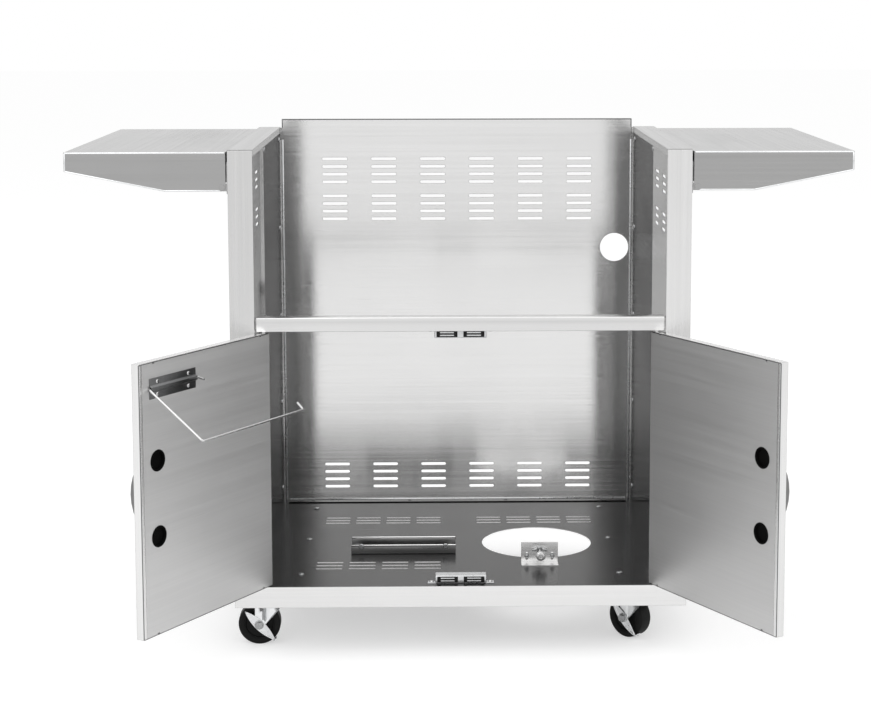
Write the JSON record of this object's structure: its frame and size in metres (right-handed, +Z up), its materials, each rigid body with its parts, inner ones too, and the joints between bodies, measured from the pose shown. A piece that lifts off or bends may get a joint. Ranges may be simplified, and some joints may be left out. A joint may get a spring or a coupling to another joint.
{
  "type": "griddle cart",
  "caption": "Stainless steel griddle cart with vented back, open bay above a front rail, two-door cabinet, folding side shelves, towel holder and swivel casters.",
  "frame": {"origin": "on the ground under the wheels, at the middle of the cart's box with the doors open and shelves up", "axes": "+Z up, front faces -Y, +X to the viewer's right when facing the front"},
  "size_m": [1.4444, 0.9908, 0.9643],
  "materials": {
    "body_steel": "satin sheet",
    "face_steel": "fine brushed",
    "liner_steel": "fine brushed",
    "plain_steel": "plain rolled",
    "rail_steel": "dull galvanised",
    "hinge_steel": "dull",
    "catch_steel": "zinc plated",
    "handle_steel": "satin polished",
    "zinc": "bright zinc plated",
    "screw": "polished",
    "wire_chrome": "polished wire",
    "magnet": "matt black",
    "black_plastic": "satin black",
    "wheel_rubber": "moulded, satin"
  },
  "bodies": {
    "cart": {"base_tray": "body_steel", "caster_channels": "plain_steel", "left_side_skin": "face_steel", "right_side_skin": "face_steel", "left_vent_liner": "body_steel", "right_vent_liner": "body_steel", "left_inner_panel": "body_steel", "right_inner_panel": "body_steel", "left_top_cap": "face_steel", "right_top_cap": "face_steel", "back_panel": "body_steel", "front_rail": "face_steel", "top_catch_case": "catch_steel", "bottom_catch_case": "catch_steel", "catch_magnets": "magnet", "catch_pole_bars": "catch_steel", "catch_screws": "screw", "bin_rail": "rail_steel", "floor_screws": "screw", "clamp_bracket": "plain_steel", "clamp_hardware": "screw", "wall_screws": "screw", "caster_plates": "zinc", "caster_bolts": "screw", "door_pivot_pins": "screw", "left_shelf_brackets": "hinge_steel", "right_shelf_brackets": "hinge_steel"},
    "left_shelf": {"left_shelf_top": "face_steel", "left_shelf_pins": "screw"},
    "right_shelf": {"right_shelf_top": "face_steel", "right_shelf_pins": "screw"},
    "left_door": {"left_door_skin": "face_steel", "left_door_liner": "liner_steel", "left_door_handle": "handle_steel", "left_handle_screws": "screw", "left_hole_plugs": "black_plastic", "towel_bracket": "plain_steel", "towel_rivets": "screw"},
    "right_door": {"right_door_skin": "face_steel", "right_door_liner": "liner_steel", "right_door_handle": "handle_steel", "right_handle_screws": "screw", "right_hole_plugs": "black_plastic"},
    "towel_holder": {"towel_wire": "wire_chrome"},
    "clamp_pad": {"clamp_pad": "screw"},
    "clamp_screw": {"clamp_screw": "screw"},
    "front_left_swivel": {"front_left_fork": "zinc", "front_left_axle": "screw"},
    "front_left_wheel": {"front_left_wheel": "wheel_rubber"},
    "front_left_brake": {"front_left_brake": "zinc"},
    "front_right_swivel": {"front_right_fork": "zinc", "front_right_axle": "screw"},
    "front_right_wheel": {"front_right_wheel": "wheel_rubber"},
    "front_right_brake": {"front_right_brake": "zinc"},
    "rear_left_swivel": {"rear_left_fork": "zinc", "rear_left_axle": "screw"},
    "rear_left_wheel": {"rear_left_wheel": "wheel_rubber"},
    "rear_right_swivel": {"rear_right_fork": "zinc", "rear_right_axle": "screw"},
    "rear_right_wheel": {"rear_right_wheel": "wheel_rubber"}
  },
  "joints": [
    {"name": "left_door_hinge", "type": "hinge", "parent": "cart", "child": "left_door", "pos_m": [-0.3635, -0.13977, 0.3682], "axis": [0, 0, -1], "range_deg": [-121.6, 4]},
    {"name": "right_door_hinge", "type": "hinge", "parent": "cart", "child": "right_door", "pos_m": [0.3635, -0.13977, 0.3682], "axis": [0, 0, 1], "range_deg": [-120.3, 4]},
    {"name": "towel_holder_hinge", "type": "hinge", "parent": "left_door", "child": "towel_holder", "pos_m": [-0.4976, -0.37873, 0.5618], "axis": [-0.524, -0.8517, 0], "range_deg": [-52, 33.6]},
    {"name": "left_shelf_hinge", "type": "hinge", "parent": "cart", "child": "left_shelf", "pos_m": [-0.4353, 0.17323, 0.8782], "axis": [0, -1, 0], "range_deg": [0, 90]},
    {"name": "right_shelf_hinge", "type": "hinge", "parent": "cart", "child": "right_shelf", "pos_m": [0.4353, 0.17323, 0.8782], "axis": [0, 1, 0], "range_deg": [0, 90]},
    {"name": "front_left_swivel_turn", "type": "hinge", "parent": "cart", "child": "front_left_swivel", "pos_m": [-0.35, -0.08277, 0.085], "axis": [0, 0, 1], "continuous": true},
    {"name": "front_left_wheel_spin", "type": "hinge", "parent": "front_left_swivel", "child": "front_left_wheel", "pos_m": [-0.38299, -0.08334, 0.04], "axis": [-0.0175, 0.9998, 0], "continuous": true},
    {"name": "front_left_brake_turn", "type": "hinge", "parent": "front_left_swivel", "child": "front_left_brake", "pos_m": [-0.38262, -0.10464, 0.04], "axis": [-0.0175, 0.9998, 0], "range_deg": [0, 10]},
    {"name": "front_right_swivel_turn", "type": "hinge", "parent": "cart", "child": "front_right_swivel", "pos_m": [0.35, -0.08277, 0.085], "axis": [0, 0, 1], "continuous": true},
    {"name": "front_right_wheel_spin", "type": "hinge", "parent": "front_right_swivel", "child": "front_right_wheel", "pos_m": [0.32666, -0.05943, 0.04], "axis": [0.7071, 0.7071, 0], "continuous": true},
    {"name": "front_right_brake_turn", "type": "hinge", "parent": "front_right_swivel", "child": "front_right_brake", "pos_m": [0.3116, -0.0745, 0.04], "axis": [0.7071, 0.7071, 0], "range_deg": [0, 10]},
    {"name": "rear_left_swivel_turn", "type": "hinge", "parent": "cart", "child": "rear_left_swivel", "pos_m": [-0.35, 0.42923, 0.085], "axis": [0, 0, 1], "continuous": true},
    {"name": "rear_left_wheel_spin", "type": "hinge", "parent": "rear_left_swivel", "child": "rear_left_wheel", "pos_m": [-0.38202, 0.42125, 0.04], "axis": [-0.2419, 0.9703, 0], "continuous": true},
    {"name": "rear_right_swivel_turn", "type": "hinge", "parent": "cart", "child": "rear_right_swivel", "pos_m": [0.35, 0.42923, 0.085], "axis": [0, 0, 1], "continuous": true},
    {"name": "rear_right_wheel_spin", "type": "hinge", "parent": "rear_right_swivel", "child": "rear_right_wheel", "pos_m": [0.3806, 0.41687, 0.04], "axis": [-0.3746, -0.9272, 0], "continuous": true},
    {"name": "clamp_slide", "type": "slide", "parent": "cart", "child": "clamp_pad", "axis": [0, 1, 0], "range_m": [-0.012, 0.012]},
    {"name": "clamp_turn", "type": "hinge", "parent": "clamp_pad", "child": "clamp_screw", "pos_m": [0.155, 0.00203, 0.153], "axis": [0, 1, 0], "range_deg": [-3600, 3600]}
  ],
  "couplings": [
    {"joint": "clamp_slide", "follows": "clamp_turn", "m_per_rad": 0.00015915}
  ]
}
